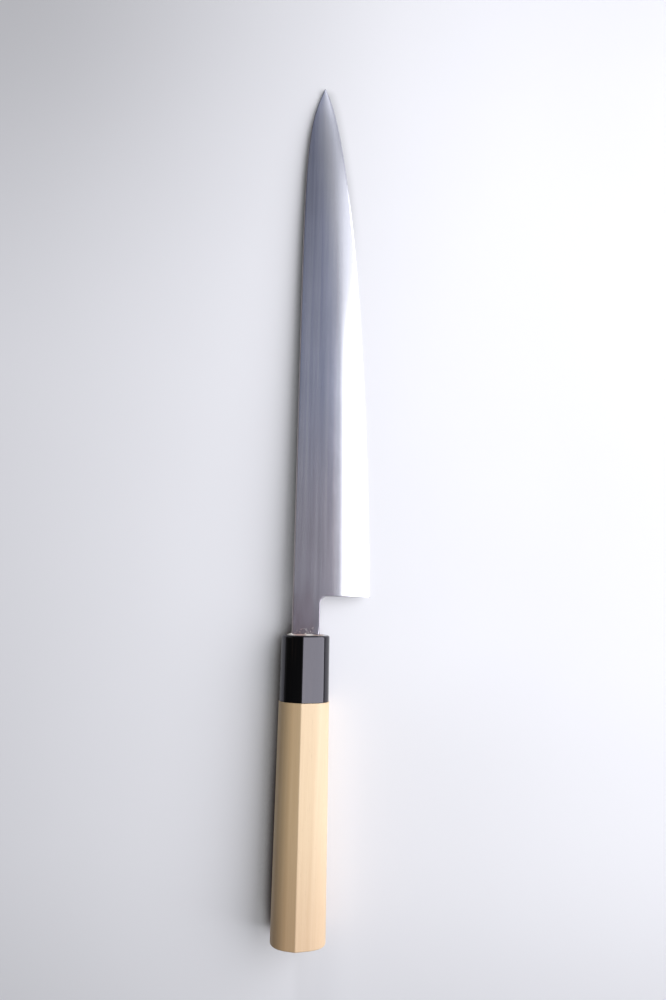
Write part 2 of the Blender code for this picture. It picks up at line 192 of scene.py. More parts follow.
TIP_Y = HEEL_GAP + math.sqrt(EDGE_LENGTH**2 - (HEEL_DEPTH - TIP_DEPTH) ** 2)
TIP = (TIP_DEPTH, TIP_Y)
heel = (HEEL_DEPTH, HEEL_GAP)
bevel_heel = (HEEL_DEPTH - BEVEL_HEEL_WIDTH, HEEL_GAP)
bend_y = HEEL_GAP + SPINE_STRAIGHT
bend = (-SPINE_OFFSET + SPINE_SLOPE * bend_y, bend_y)
edge_line = outline_curve(heel, EDGE_AT_HEEL, TIP, EDGE_AT_TIP)
bevel_line = outline_curve(bevel_heel, BEVEL_AT_HEEL, TIP, BEVEL_AT_TIP)
spine_fall = outline_curve(bend, (SPINE_SLOPE, SPINE_PULL), TIP, SPINE_AT_TIP)
spine_line = (np.append(-SPINE_OFFSET, spine_fall[0]), np.append(0.0, spine_fall[1]))
print("the tip lies", round(1000 * TIP_Y, 1), "mm in front of the handle")

# %% [markdown]
# ## The blade's section
# From the spine to the bevel line both sides are flat, and the steel thins evenly to the tip.
# Hand grinding never leaves a crisp line between flat and bevel: the flat begins to fall a few
# millimetres before it, and near the tip almost from the spine. Below the line the sides fall to
# the edge on a slight crown, and a last bevel of half a millimetre forms the edge itself. Every
# point also keeps its zone: -1 on the middle of a rounded side, 0 on the flats, 1 on the bevel
# line, 2 at the end of the bevel and 3 on the edge. The steel's finish tells them apart later.

# %% Section of the steel
NECK_THICKNESS = 0.0031
TIP_THICKNESS = 0.0010
SHOULDER_THICKNESS = 0.00034
POINT_THICKNESS = 0.0005
POINT_TAPER = 0.016
MICRO_BEVEL = 0.0006
BEVEL_CROWN = 1.6
SPINE_ROUNDING = 0.0005
MOST_ROUNDING = 0.9
LEAST_FLAT = 0.2
MOST_MICRO_BEVEL = 0.2
MOST_SHOULDER = 0.6
BLEND_SLOPE = 0.0245
HEEL_BLEND = 0.36
TIP_BLEND = 0.95
ARC_STEPS = 8
WEB_STEPS = 6
FLAT_STEPS = 8
BEVEL_STEPS = 20


def half_thickness(y):
    """Half the thickness of the flats, which thin evenly and then run out at the point."""
    thickness = NECK_THICKNESS + (TIP_THICKNESS - NECK_THICKNESS) * max(y, 0.0) / TIP_Y
    near_point = max(0.0, 1.0 - (TIP_Y - y) / POINT_TAPER)
    return 0.5 * (thickness - (TIP_THICKNESS - POINT_THICKNESS) * near_point**2)


def rounded_side(x, y, half, radius, inward=(1.0, 0.0)):
    """Points (x, y, z, zone) of a rounded side, from its middle to the flat."""
    depth = min(radius, MOST_ROUNDING * half)
    points = []
    for step in range(ARC_STEPS + 1):
        angle = 0.5 * math.pi * step / ARC_STEPS
        reach = depth * (1 - math.cos(angle))
        place = (x + inward[0] * reach, y + inward[1] * reach, half * math.sin(angle))
        points.append((*place, step / ARC_STEPS - 1.0))
    return points


def web(first, last):
    """Even points on the flat between two others, without the two themselves."""
    shares = [step / (WEB_STEPS + 1) for step in range(1, WEB_STEPS + 1)]
    return [tuple(a + share * (b - a) for a, b in zip(first, last)) for share in shares]


def blade_row(y, corner_share):
    """Half a section of the blade at y, from the spine's middle to the edge."""
    half = half_thickness(y)
    spine_x, bevel_x, edge_x = (across(line, y) for line in (spine_line, bevel_line, edge_line))
    points = rounded_side(spine_x, y, half, SPINE_ROUNDING)
    flat_x = points[-1][0]
    bevel_x = max(bevel_x, flat_x + LEAST_FLAT * (edge_x - flat_x))
    shoulder_x = edge_x - min(MICRO_BEVEL, MOST_MICRO_BEVEL * (edge_x - bevel_x))
    shoulder = min(0.5 * SHOULDER_THICKNESS, MOST_SHOULDER * half)
    corner_x = flat_x + corner_share * (bevel_x - flat_x)
    corner = (corner_x, y, half, 0.0)
    points += web(points[-1], corner) + [corner]
    for step in range(1, FLAT_STEPS):
        points.append((corner_x + (bevel_x - corner_x) * step / FLAT_STEPS, y, half, 0.0))

    # The flat falls along a parabola whose slope at the bevel line is the bevel's first slope.
    # Towards the tip flat and bevel grow together into one even curve.
    near_tip = ((y - HEEL_GAP) / (TIP_Y - HEEL_GAP)) ** 2
    width = shoulder_x - bevel_x
    blend = (HEEL_BLEND + (TIP_BLEND - HEEL_BLEND) * near_tip) * (bevel_x - flat_x)
    even_slope = 2.0 * (half - shoulder) * blend / (blend + width) ** 2
    slope = BLEND_SLOPE + (even_slope - BLEND_SLOPE) * near_tip
    power = BEVEL_CROWN + (2.0 - BEVEL_CROWN) * near_tip
    for number in range(ARC_STEPS + 1, len(points)):
        x, _, height, _ = points[number]
        past = max(0.0, x - bevel_x + blend)
        points[number] = (x, y, height - 0.5 * slope * past**2 / blend, past / blend)
    line_height = half - 0.5 * slope * blend
    crown = line_height - shoulder - slope * width
    for step in range(BEVEL_STEPS + 1):
        share = step / BEVEL_STEPS
        height = line_height - slope * width * share - crown * share**power
        points.append((bevel_x + share * width, y, height, 1.0 + share))
    points.append((edge_x, y, 0.0, 3.0))
    return points


print("the steel is", round(2000 * half_thickness(HEEL_GAP), 2), "mm thick at the heel")

# %% [markdown]
# ## Neck, round corner and heel
# The tang, the neck and the blade are one forging. The neck's lower side is rounded over. At the
# heel this rounding turns a quarter circle and runs on along the heel's end, ever finer, until it
# dies out at the edge. Because the rounding always leans inwards from the outline, the corner
# flows round without a step, as it does after a smith has eased it with a file.

# %% Rows of points for tang, neck and heel
NECK_DEPTH = 0.0070
CHOIL_RADIUS = 0.0034
MOUTH_ROUNDING = 0.0010
NECK_ROUNDING = 0.0006
EASED_AFTER = 0.004
HEEL_ROUNDING = 0.0005
EDGE_EASING = 0.0001
TANG_LENGTH = 0.110
TANG_SHANK = 0.006
TANG_WIDTH = 0.0110
TANG_THICKNESS = 0.0030
TANG_END_WIDTH = 0.0064
TANG_END_THICKNESS = 0.0020
TANG_ROWS = 10
NECK_ROWS = 8
CHOIL_ROWS = 16


def tang_size(y):
    """The tang's reach to the spine side, to the edge side, and half its thickness."""
    places = (-TANG_LENGTH, -TANG_SHANK, 0.0)
    left = (0.5 * TANG_END_WIDTH, 0.5 * TANG_WIDTH, SPINE_OFFSET)
    right = (0.5 * TANG_END_WIDTH, 0.5 * TANG_WIDTH, NECK_DEPTH)
    half = (0.5 * TANG_END_THICKNESS, 0.5 * TANG_THICKNESS, 0.5 * NECK_THICKNESS)
    return [float(np.interp(y, places, sizes)) for sizes in (left, right, half)]


def neck_row(y, spine_x, low_x, half, turn=0.0):
    """Half a section of the neck, whose lower rounding may be turned towards the heel."""
    inward = (-math.cos(turn), math.sin(turn))
    radius = float(np.interp(y, (0.0, EASED_AFTER), (MOUTH_ROUNDING, NECK_ROUNDING)))
    low = rounded_side(low_x, y, half, radius, inward)
    spine = rounded_side(spine_x, y, half, SPINE_ROUNDING)
    return spine + web(spine[-1], low[-1]) + low[::-1]


def neck_rows():
    """Half sections from the tang's end to the heel."""
    rows = []
    for step in range(TANG_ROWS + 1):
        y = -TANG_LENGTH + (TANG_LENGTH - TANG_SHANK) * step / TANG_ROWS
        left, right, half = tang_size(y)
        rows.append(neck_row(y, -left, right, half))
    start = HEEL_GAP - CHOIL_RADIUS
    for step in range(NECK_ROWS):
        y = start * step / NECK_ROWS
        rows.append(neck_row(y, across(spine_line, y), NECK_DEPTH, half_thickness(y)))
    for step in range(CHOIL_ROWS + 1):
        turn = 0.5 * math.pi * step / CHOIL_ROWS
        y = start + CHOIL_RADIUS * math.sin(turn)
        low_x = NECK_DEPTH + CHOIL_RADIUS * (1 - math.cos(turn))
        rows.append(neck_row(y, across(spine_line, y), low_x, half_thickness(y), turn))
    return rows


print("the tang reaches", round(1000 * TANG_LENGTH), "mm into the handle")

# %% [markdown]
# ## Forging the blade
# Only the right half is skinned. Bmesh's mirror then makes the left half and merges the seam, so
# both sides are ground exactly alike. The heel's end is a short row of rounded strips, one below
# every column of the blade, which narrow to a fan at the heel's corner.

# %% Skin one half and mirror it
BLADE_ROWS = 240
ROW_CROWDING = 1.5
PAST_ROUNDING = 1.3
POINT_LENGTH = 0.0004
MERGE = 1e-7


def heel_strips(first_row):
    """The rounded end of the heel below each column, from the round corner to the shoulder."""
    strips = []
    corner = ARC_STEPS + WEB_STEPS + 1
    for column in range(corner + 1, len(first_row) - 1):
        x, _, height, zone = first_row[column]
        fade = min(1.0, (column - corner) / FLAT_STEPS)
        radius = NECK_ROUNDING + (HEEL_ROUNDING - NECK_ROUNDING) * fade
        radius += (EDGE_EASING - radius) * max(0.0, zone - 1.0)
        strip = rounded_side(x, HEEL_GAP, height, radius, (0.0, 1.0))
        strips.append(strip[:-1] + [(*strip[-1][:3], zone)])
    return strips


def forge_blade():
    data = bmesh.new()
    zone_layer = data.verts.layers.float.new("zone")

    def new_row(points):
        row = []
        for x, y, z, zone in points:
            vertex = data.verts.new((x, y, z))
            vertex[zone_layer] = zone
            row.append(vertex)
        return row

    neck = [new_row(points) for points in neck_rows()]
    for row, following in zip(neck, neck[1:]):
        skin(data, row, following, closed=False)
    data.faces.new(neck[0])

    # The blade's first row starts on the neck's last one and goes on along the heel's strips.
    flat_x = neck[-1][ARC_STEPS].co.x
    corner_share = (NECK_DEPTH + CHOIL_RADIUS - flat_x) / (across(bevel_line, HEEL_GAP) - flat_x)
    first = blade_row(HEEL_GAP, corner_share)
    flat_end = ARC_STEPS + WEB_STEPS + 1
    strips = [neck[-1][flat_end:][::-1]] + [new_row(points) for points in heel_strips(first)]
    for strip, following in zip(strips, strips[1:]):
        skin(data, strip, following, closed=False)
    corner = new_row(first[-1:])[0]
    for low, high in zip(strips[-1], strips[-1][1:]):
        data.faces.new((low, high, corner))

    blade = [neck[-1][:flat_end] + [strip[-1] for strip in strips] + [corner]]
    start = HEEL_GAP + PAST_ROUNDING * NECK_ROUNDING
    reach = TIP_Y - start - POINT_LENGTH
    for step in range(BLADE_ROWS + 1):
        share = 1 - (1 - step / BLADE_ROWS) ** ROW_CROWDING
        blade.append(new_row(blade_row(start + share * reach, corner_share)))
    for row, following in zip(blade, blade[1:]):
        skin(data, row, following, closed=False)
    point = new_row([(*TIP, 0.0, 3.0)])[0]
    for one, other in zip(blade[-1], blade[-1][1:]):
        data.faces.new((one, other, point))

    everything = data.verts[:] + data.edges[:] + data.faces[:]
    bmesh.ops.mirror(data, geom=everything, axis="Z", merge_dist=MERGE)
    for edge in data.edges:
        if all(vertex[zone_layer] == 2.0 for vertex in edge.verts):
            edge.smooth = False
    return new_piece("blade_steel", data)


blade = forge_blade()
keep_flats(blade)
print("the blade has", len(blade.data.polygons), "faces")

# %% [markdown]
# ## Shader maths as Python
# A finish is a small formula: how dark a streak is, how rough a patch. Blender writes formulas as
# boxes and wires, which are hard to read in code. The class below wraps one output socket, so
# that plus, minus, times and power add the Math nodes.

# %% A socket that can be calculated with
class Link:
    """One output socket, on which Python's arithmetic adds Math nodes."""

    def __init__(self, finish, socket):
        self.finish = finish
        self.socket = socket

    def math(self, operation, first, second):
        return self.finish.node("Math", {"operation": operation}, {0: first, 1: second})

    def __add__(self, other):
        return self.math("ADD", self, other)

    def __radd__(self, other):
        return self.math("ADD", other, self)

    def __sub__(self, other):
        return self.math("SUBTRACT", self, other)

    def __rsub__(self, other):
        return self.math("SUBTRACT", other, self)

    def __mul__(self, other):
        return self.math("MULTIPLY", self, other)

    def __rmul__(self, other):
        return self.math("MULTIPLY", other, self)

    def __pow__(self, other):
        return self.math("POWER", self, other)

    def rise(self, low, high):
        """0 below low, 1 above high and a smooth rise between."""
        settings = {"interpolation_type": "SMOOTHSTEP"}
        return self.finish.node("MapRange", settings, {0: self, 1: low, 2: high})

    def at_least(self, low):
        """The link itself, but never below low."""
        return self.math("MAXIMUM", self, low)


print("a link knows", sum(name.startswith("__") for name in vars(Link)), "special names")

# %% [markdown]
# The finish itself holds the node tree. Every node comes from one method, which sets the node's
# options first and then its sockets. A few shorthands serve all finishes: a noise that is
# stretched by its own amount along each axis, because wood grain, brush lines and streaks in horn
# are all stretched along the knife, a mix of two colours, a colour made darker by a factor, a bump
# and the shader itself.

# %% A finish that grows node by node
class Finish:
    """The node tree of one material or of the world."""

    def __init__(self, owner):
        owner.use_nodes = True
        self.owner = owner
        self.tree = owner.node_tree
        self.tree.nodes.clear()

    def node(self, kind, settings=None, sockets=None, output=0):
        """Adds a node, sets its options and then the values or links of its sockets."""
        node = self.tree.nodes.new("ShaderNode" + kind)
        for name, value in (settings or {}).items():
            if name == "stops":
                self.set_stops(node.color_ramp, value)
            else:
                setattr(node, name, value)
        for key, value in (sockets or {}).items():
            if isinstance(value, Link):
                self.tree.links.new(value.socket, node.inputs[key])
            else:
                node.inputs[key].default_value = value
        return Link(self, node.outputs[output]) if node.outputs else node

    def set_stops(self, ramp, stops):
        while len(ramp.elements) < len(stops):
            ramp.elements.new(1.0)
        for element, (place, colour) in zip(ramp.elements, stops):
            element.position = place
            element.color = (*colour, 1.0)

    def place(self):
        """The place on the piece, in metres along the knife's axes."""
        sockets = {
            "Vector": self.node("TexCoord", output="Object"),
            "Location": KNIFE.to_translation(),
            "Rotation": KNIFE.to_euler(),
        }
        return self.node("Mapping", {"vector_type": "TEXTURE"}, sockets)

    def axes(self, vector):
        """The x, y and z of a vector, each as a link."""
        return [self.node("SeparateXYZ", {}, {0: vector}, output) for output in range(3)]

    def stretched(self, vector, scale, detail=2.0, roughness=0.5):
        """Noise from 0 to 1 with its own number of spots a metre along each axis."""
        scaled = self.node("VectorMath", {"operation": "MULTIPLY"}, {0: vector, 1: scale})
        sockets = {"Vector": scaled, "Scale": 1.0, "Detail": detail, "Roughness": roughness}
        return self.node("TexNoise", {}, sockets)

    def mix(self, factor, first, second, blend="MIX"):
        """Two colours mixed; each is a triple or a link."""
        sockets = {0: factor}
        for key, colour in ((6, first), (7, second)):
            sockets[key] = colour if isinstance(colour, Link) else (*colour, 1.0)
        return self.node("Mix", {"data_type": "RGBA", "blend_type": blend}, sockets, output=2)

    def shaded(self, colour, factor):
        """A colour made darker or lighter by a factor."""
        grey = self.node("CombineColor", {}, {0: factor, 1: factor, 2: factor})
        return self.mix(1.0, colour, grey, "MULTIPLY")

    def bump(self, height, distance):
        """A normal bent by a height from 0 to 1 that stands for the distance in metres."""
        return self.node("Bump", {}, {"Height": height, "Distance": distance})

    def surface(self, sockets):
        """The shader and the material's output. Returns the material."""
        shader = self.node("BsdfPrincipled", {}, sockets)
        self.node("OutputMaterial", {}, {"Surface": shader})
        return self.owner


def new_finish(name):
    return Finish(bpy.data.materials.new(name))


print("finishes are ready")

# %% [markdown]
# ## Satin steel
# The flats were rubbed lengthwise on a fine belt, which leaves faint streaks, some bluish and some
# warmer, and a soft satin gloss. The ground bevel is brighter and a little finer, and near the tip
# its lighter colour is painted further up the flat as a painted highlight. The last bevel at the
# edge is bright from the stone, but near the tip its rim is darkened with painted shade. Towards
# the handle the steel turns warmer, from bluish to a purplish brown with stains on the neck. A
# thin dark brown line of painted shade runs along the spine's rounded side, which turns away from
# the light. Streaks are noise stretched along y, and the zones that were kept in the mesh say
# which grind a point belongs to.

# %% Make the steel
COOL_STREAKS = ((0.405, 0.43, 0.55), (0.52, 0.535, 0.63))
WARM_STREAKS = ((0.445, 0.415, 0.47), (0.53, 0.51, 0.55))
STAINS = ((0.345, 0.29, 0.32), (0.425, 0.375, 0.42))
WIPED_STAIN = (0.385, 0.375, 0.415)
# The bevel's lighter colour, also painted up the flat near the tip as a painted highlight.
BEVEL_AND_HIGHLIGHT = (0.575, 0.58, 0.615)
# Painted shade: the brown of the dark line along the spine's rounded side.
SPINE_SHADE_BROWN = (0.38, 0.33, 0.33)
COOL_STARTS = (0.04, 0.14)
STAINS_END = (0.008, 0.036)
# Where the painted shade on the edge's rim begins near the tip.
TIP_RIM_SHADE_STARTS = (0.230, 0.262)
BELT_LINE_DEPTH = 0.0000015


def satin_steel():
    finish = new_finish("satin_steel")
    place = finish.place()
    x, y, _ = finish.axes(place)

    # The grinds. Near the tip the bevel's lighter colour is painted further up the flat as a
    # painted highlight. The spine's rounded side gets a dark line of painted shade, and the edge
    # near the tip a darker rim of painted shade.
    zone = finish.node("Attribute", {"attribute_name": "zone"}, output=2)
    bevel_and_highlight = (zone + 0.45 * y.rise(0.15, 0.28)).rise(0.40, 1.35)
    honed = zone.rise(2.0, 2.02)
    spine_shade = (0.0 - zone).rise(0.02, 0.35) * (1.0 - x.rise(-0.004, 0.0))
    rim_shade = zone.rise(1.5, 2.3) * y.rise(*TIP_RIM_SHADE_STARTS)

    # The streaks, and the patches of stain on the neck.
    broad = finish.stretched(place, (420.0, 5.0, 60.0), 3.0, 0.55)
    fine = finish.stretched(place, (5200.0, 26.0, 900.0), 3.0, 0.6)
    cloud = finish.stretched(place, (70.0, 45.0, 60.0), 2.0)
    patch = finish.stretched(place, (260.0, 110.0, 260.0), 3.0).rise(0.3, 0.7)
    streak = broad.rise(0.30, 0.70)
    stain = finish.mix(0.8 * x.rise(0.002, 0.006), finish.mix(patch, *STAINS), WIPED_STAIN)

    colour = finish.mix(streak, *COOL_STREAKS)
    colour = finish.mix(1.0 - y.rise(*COOL_STARTS), colour, finish.mix(streak, *WARM_STREAKS))
    colour = finish.mix(1.0 - (y + 0.008 * cloud).rise(*STAINS_END), colour, stain)
    # The bevel's colour, with a painted highlight near the tip.
    colour = finish.mix(bevel_and_highlight, colour, BEVEL_AND_HIGHLIGHT)
    # Painted shade: a thin dark brown line along the spine's rounded side.
    colour = finish.mix(0.8 * spine_shade, colour, SPINE_SHADE_BROWN)
    # Painted shade: the edge's rim near the tip is darker.
    shade = (0.92 + 0.12 * fine + 0.04 * broad) * (1.0 - 0.38 * rim_shade)
    roughness = 0.13 + 0.05 * fine + 0.04 * cloud - 0.03 * honed + 0.15 * spine_shade
    return finish.surface({
        "Base Color": finish.shaded(colour, shade),
        "Metallic": 1.0,
        "Roughness": roughness,
        "Normal": finish.bump(fine + 0.4 * broad, BELT_LINE_DEPTH),
    })


def mount_piece(piece, node, finish):
    """Lays a finished piece down in place of its packed node."""
    piece.data.transform(KNIFE)
    piece.data.materials.clear()
    piece.data.materials.append(finish)
    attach(piece, "root")
    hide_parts(node)
    print(piece.name, "replaces", node)


mount_piece(blade, "blade", satin_steel())

# %% [markdown]
# ## The handle's section
# The grip is an oval drawn out to one ridge, which lies under the fingers of the right hand. The
# oval is fuller on the edge's side and rounder on the spine's. Two straight facets run from the
# ridge and touch the oval, so the section is found as a maker would draw it: the oval, the
# ridge's point, and its two tangents. Sanding leaves the ridge itself a small round, here a
# quadratic curve between points close to it on the two facets.

# %% Draw the handle's section
FRONT_WIDTH = 0.02335
BUTT_WIDTH = 0.0256
FRONT_THICKNESS = 0.0184
BUTT_THICKNESS = 0.0200
RIDGE_RISE = 0.00045
RIDGE_OFFSET = 0.0023
RIDGE_EASING = 0.0003
EDGE_FULLNESS = 2.6
SPINE_FULLNESS = 2.1
OVAL_STEPS = 150
RIDGE_STEPS = 4
HALVINGS = 40


def oval_point(width, thickness, angle):
    cosine = math.cos(angle)
    sine = math.sin(angle)
    power = 2.0 / (EDGE_FULLNESS if cosine > 0.0 else SPINE_FULLNESS)
    x = 0.5 * width * math.copysign(abs(cosine) ** power, cosine)
    z = 0.5 * thickness * math.copysign(abs(sine) ** power, sine)
    return x, z


def tangent_angle(width, thickness, ridge_x, ridge_z, side):
    """Where a line from the ridge just touches the oval on one side, found by halving."""
    low = 0.5 * math.pi
    high = 0.0 if side > 0 else math.pi
    power = 2.0 - 2.0 / (EDGE_FULLNESS if side > 0 else SPINE_FULLNESS)
    for _ in range(HALVINGS):
        middle = 0.5 * (low + high)
        reach = ridge_x / (0.5 * width) * math.copysign(abs(math.cos(middle)) ** power, side)
        reach += ridge_z / (0.5 * thickness) * abs(math.sin(middle)) ** power
        if reach > 1.0:
            low = middle
        else:
            high = middle
    return 0.5 * (low + high)


def handle_size(y):
    """The oval's width and thickness at y."""
    share = -y / HANDLE_LENGTH
    width = FRONT_WIDTH + share * (BUTT_WIDTH - FRONT_WIDTH)
    thickness = FRONT_THICKNESS + share * (BUTT_THICKNESS - FRONT_THICKNESS)
    return width, thickness


def handle_ring(y, inset=0.0, proud=0.0):
    """The handle's section at y, starting with the small round on its ridge."""
    width, thickness = (size + 2.0 * (proud - inset) for size in handle_size(y))
    ridge = np.array([-RIDGE_OFFSET, 0.5 * thickness + RIDGE_RISE])
    first = tangent_angle(width, thickness, ridge[0], ridge[1], 1.0)
    last = tangent_angle(width, thickness, ridge[0], ridge[1], -1.0) - 2.0 * math.pi
    angles = [first + (last - first) * step / OVAL_STEPS for step in range(OVAL_STEPS + 1)]
    oval = [oval_point(width, thickness, angle) for angle in angles]
    right = np.array(oval[0]) - ridge
    left = np.array(oval[-1]) - ridge
    start = ridge + RIDGE_EASING * left / np.linalg.norm(left)
    end = ridge + RIDGE_EASING * right / np.linalg.norm(right)
    ring = []
    for step in range(RIDGE_STEPS + 1):
        t = step / RIDGE_STEPS
        x, z = start * (1 - t) ** 2 + 2 * ridge * t * (1 - t) + end * t**2
        ring.append((x, y, z))
    return ring + [(x, y, z) for x, z in oval]


print("the section has", len(handle_ring(0.0)), "points")

# %% [markdown]
# ## What passes through the handle
# The tang enters through a slot in the ferrule, and behind it the wood is bored a little wider
# than the tang. Both are the tang's own section plus a clearance, so one function draws them: a
# rounded rectangle that keeps the same distance from the steel on every side. Each bore is cut
# with a Boolean, whose result is kept, and whose cutter is thrown away.

# %% Bores around the tang and the tenon
FERRULE_LENGTH = 0.0314
FERRULE_WALL = 0.0022
FERRULE_FLOOR = 0.0075
SEAL_WALL = 0.0013
SEAL_CORNER = 0.0011
BEDDING_WALL = 0.0009
BEDDING_END = 0.0030
FIT_GAP = 0.0003
CUTTER_OVERRUN = 0.0010
CORNER_STEPS = 8


def around_tang(y, clearance):
    """A rounded rectangle that clears the tang by the same distance on every side."""
    left, right, half = tang_size(y)
    left += clearance
    right += clearance
    half += clearance
    corner = min(SEAL_CORNER + clearance, MOST_ROUNDING * half)
    centres = (
        (right - corner, half - corner, 0.0),
        (corner - left, half - corner, 0.5),
        (corner - left, corner - half, 1.0),
        (right - corner, corner - half, 1.5),
    )
    ring = []
    for centre_x, centre_z, start in centres:
        for step in range(CORNER_STEPS + 1):
            angle = math.pi * (start + 0.5 * step / CORNER_STEPS)
            x = centre_x + corner * math.cos(angle)
            ring.append((x, y, centre_z + corner * math.sin(angle)))
    return ring


def along_tang(start, end, clearance):
    """Rings around the tang from start to end, with one wherever the tang changes its taper."""
    turns = [y for y in (-TANG_LENGTH, -TANG_SHANK, 0.0) if start < y < end]
    return [around_tang(y, clearance) for y in (start, *turns, end)]


def tenon_ring(y, clearance=0.0):
    """The tenon's plain oval, from the top."""
    inset = FERRULE_WALL + FIT_GAP - clearance
    width, thickness = (size - 2.0 * inset for size in handle_size(-FERRULE_LENGTH))
    count = len(handle_ring(y))
    ring = []
    for step in range(count):
        angle = 0.5 * math.pi - 2.0 * math.pi * step / count
        ring.append((0.5 * width * math.cos(angle), y, 0.5 * thickness * math.sin(angle)))
    return ring


def cut_away(piece, rings):
    """Cuts the body through these rings out of the piece."""
    cutter = new_piece("cutter", loft(rings))
    modifier = piece.modifiers.new("bore", "BOOLEAN")
    modifier.operation = "DIFFERENCE"
    modifier.solver = "EXACT"
    modifier.object = cutter
    bpy.context.view_layer.update()
    evaluated = piece.evaluated_get(bpy.context.evaluated_depsgraph_get())
    finished = bpy.data.meshes.new_from_object(evaluated)
    piece.modifiers.clear()
    piece.data = finished
    bpy.data.objects.remove(cutter)


print("the slot is", round(2000 * (tang_size(0.0)[2] + SEAL_WALL + 2 * FIT_GAP), 1), "mm high")

# %% [markdown]
# ## The horn ferrule
# The ferrule is a ring of horn, fitted while the wood was oversize and then ground flush with it.
# Its front arris is rounded and polished like the rest, and its back is square, because the wood
# butts against it. It is a loft of handle sections with the tenon's bore and the slot cut out.

# %% Make the ferrule
FRONT_ARRIS = 0.0010
ARRIS_STEPS = 8
JOINT_ARRIS = 0.00015
LONG_STEPS = 24


def arris_rings(end_y, inward, radius, proud=0.0):
    """Rings that round the arris of an end face, from the sides to the face."""
    rings = []
    for step in range(ARRIS_STEPS + 1):
        angle = 0.5 * math.pi * step / ARRIS_STEPS
        y = end_y + inward * radius * (1 - math.sin(angle))
        rings.append(handle_ring(y, radius * (1 - math.cos(angle)), proud))
    return rings


def between(start, end, proud=0.0):
    """Handle rings at even steps between two places, without the places themselves."""
    steps = [start + (end - start) * step / LONG_STEPS for step in range(1, LONG_STEPS)]
    return [handle_ring(y, 0.0, proud) for y in steps]


def make_ferrule():
    rings = arris_rings(-FERRULE_LENGTH, 1.0, JOINT_ARRIS)[::-1]
    rings += between(-FERRULE_LENGTH + JOINT_ARRIS, -FRONT_ARRIS)
    rings += arris_rings(0.0, -1.0, FRONT_ARRIS)
    ferrule = new_piece("ferrule_horn", loft(rings))
    back = -FERRULE_LENGTH - CUTTER_OVERRUN
    cut_away(ferrule, [tenon_ring(back, FIT_GAP), tenon_ring(-FERRULE_FLOOR, FIT_GAP)])
    reach = SEAL_WALL + 2 * FIT_GAP
    cut_away(ferrule, along_tang(-FERRULE_FLOOR - CUTTER_OVERRUN, CUTTER_OVERRUN, reach))
    return ferrule


ferrule = make_ferrule()
keep_flats(ferrule)
print("the ferrule has", len(ferrule.data.polygons), "faces")

# %% [markdown]
# Buffalo horn is black, with a few browner streaks that only show where it is lit. It is polished
# to a soft gloss: the window shows in it with slightly blurred borders. Thin lines from the last
# polishing cloth run along it, so the roughness and a very small bump follow stretched noise.

# %% Polish the horn
BLACK_HORN = (0.0022, 0.0022, 0.0025)
BROWN_HORN = (0.010, 0.0075, 0.006)
GLOSS_TINT = (0.92, 0.89, 1.0, 1.0)
CLOTH_LINE_DEPTH = 0.000002


def polished_horn():
    finish = new_finish("polished_horn")
    place = finish.place()
    streak = finish.stretched(place, (600.0, 18.0, 600.0), 3.0, 0.6)
    cloud = finish.stretched(place, (120.0, 60.0, 120.0), 2.0)
    cloth = finish.stretched(place, (3800.0, 90.0, 3800.0), 2.0)
    return finish.surface({
        "Base Color": finish.mix(streak.rise(0.52, 0.75), BLACK_HORN, BROWN_HORN),
        "Roughness": 0.04 + 0.03 * cloud + 0.03 * cloth,
        "IOR": 1.60,
        "Specular Tint": GLOSS_TINT,
        "Normal": finish.bump(cloth + 0.6 * cloud, CLOTH_LINE_DEPTH),
    })


mount_piece(ferrule, "horn_ferrule", polished_horn())

# %% [markdown]
# ## The magnolia grip
# The grip has a tenon inside the ferrule and a shoulder that meets the horn with a hairline
# joint. Its butt is sawn square and its arris is barely eased. It stands a hair proud of the
# horn, because wood swells and horn shrinks a little after they were sanded together.

# %% Make the grip
BUTT_ARRIS = 0.0008
WOOD_PROUD = 0.0002
JOINT_LINE = 0.00005


def make_grip():
    shoulder = -FERRULE_LENGTH - JOINT_LINE
    tenon_front = -FERRULE_FLOOR - FIT_GAP
    rings = arris_rings(-HANDLE_LENGTH, 1.0, BUTT_ARRIS, WOOD_PROUD)[::-1]
    rings += between(-HANDLE_LENGTH + BUTT_ARRIS, shoulder - JOINT_ARRIS, WOOD_PROUD)
    rings += arris_rings(shoulder, -1.0, JOINT_ARRIS, WOOD_PROUD)
    rings += [tenon_ring(shoulder), tenon_ring(tenon_front)]
    grip = new_piece("grip_magnolia", loft(rings))
    bottom = -TANG_LENGTH - BEDDING_END - FIT_GAP
    cut_away(grip, along_tang(bottom, tenon_front + CUTTER_OVERRUN, BEDDING_WALL + 2 * FIT_GAP))
    return grip


grip = make_grip()
keep_flats(grip)
print("the grip has", len(grip.data.polygons), "faces")

# %% [markdown]
# Magnolia is a plain, pale, fine-grained wood. Its growth rings are cylinders about a pith that
# lies outside the blank, so on a long grip they show as faint straight lines, and on the butt as
# faint arcs. Distance from the pith, bent a little by noise, is fed to a one-dimensional noise for
# the rings. Finer stretched noise gives the fibres, and its rare peaks the pores. The colour also
# carries painted shade: it is darker towards the butt, where the light falls off, a little darker
# on the edge's side, which holds back the window's light there, and darkest on the facet on the
# spine's side, which faces away from the window.

# %% Grain of the wood
PITH = (-0.085, -0.060)
RINGS_A_METRE = 520.0
RING_DRIFT = 0.006
MAGNOLIA = ((0.755, 0.560, 0.345), (0.82, 0.635, 0.415))
# Painted shade towards the butt, where the light falls off.
BUTT_SHADE = (0.88, 0.82, 0.80)
# Painted shade on the facet on the spine's side, which faces away from the window.
SPINE_FACET_SHADE = (0.86, 0.81, 0.72)
PORES = (0.50, 0.34, 0.19)
BUTT_SHADE_ENDS = (-0.155, -0.07)
SPINE_FACET_SHADE_ENDS = (-0.0030, -0.0021)
FIBRE_DEPTH = 0.00001


